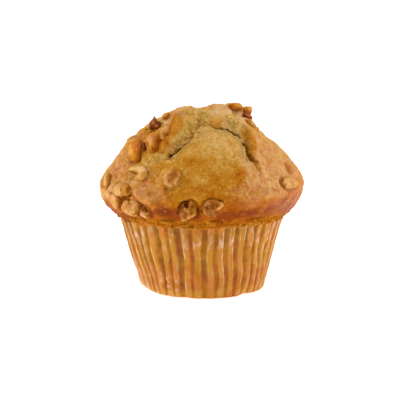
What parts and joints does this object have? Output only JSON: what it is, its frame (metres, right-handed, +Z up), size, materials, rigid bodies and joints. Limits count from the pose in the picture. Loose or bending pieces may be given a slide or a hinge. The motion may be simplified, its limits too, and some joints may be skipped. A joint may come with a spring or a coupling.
{
  "type": "muffin",
  "caption": "Domed walnut muffin with a torn golden crown and chopped walnuts, baked in a pleated butter-soaked paper case.",
  "frame": {"origin": "middle of the flat base of the paper case, on the surface the muffin stands on", "axes": "+Z up through the crown, -Y to the front with the open crack, +X to the right seen from the front"},
  "size_m": [0.0842, 0.0855, 0.0755],
  "materials": {
    "cake_crust": "baked golden-brown crust, satin on the plates and matt in the torn pale crumb",
    "case_paper": "translucent butter-soaked greaseproof paper with an oily sheen, paler on the fold crests",
    "walnut_pale": "toasted walnut meat, satin",
    "walnut_orange": "deeply toasted walnut meat, satin",
    "walnut_skin": "walnut with brown papery skin, satin to matt"
  },
  "bodies": {
    "root": {"cake": "cake_crust", "paper_case": "case_paper", "walnut_01": "walnut_skin", "walnut_02": "walnut_skin", "walnut_03": "walnut_pale", "walnut_04": "walnut_pale", "walnut_05": "walnut_pale", "walnut_06": "walnut_orange", "walnut_07": "walnut_pale", "walnut_08": "walnut_pale", "walnut_09": "walnut_orange", "walnut_10": "walnut_pale", "walnut_11": "walnut_skin", "walnut_12": "walnut_orange", "walnut_13": "walnut_pale", "walnut_14": "walnut_pale", "walnut_15": "walnut_skin", "walnut_16": "walnut_orange", "walnut_17": "walnut_orange", "walnut_18": "walnut_orange", "walnut_19": "walnut_skin", "walnut_20": "walnut_skin", "walnut_21": "walnut_pale", "walnut_22": "walnut_orange", "walnut_23": "walnut_skin", "walnut_24": "walnut_pale", "walnut_25": "walnut_orange", "walnut_26": "walnut_pale", "walnut_27": "walnut_orange"}
  },
  "joints": []
}
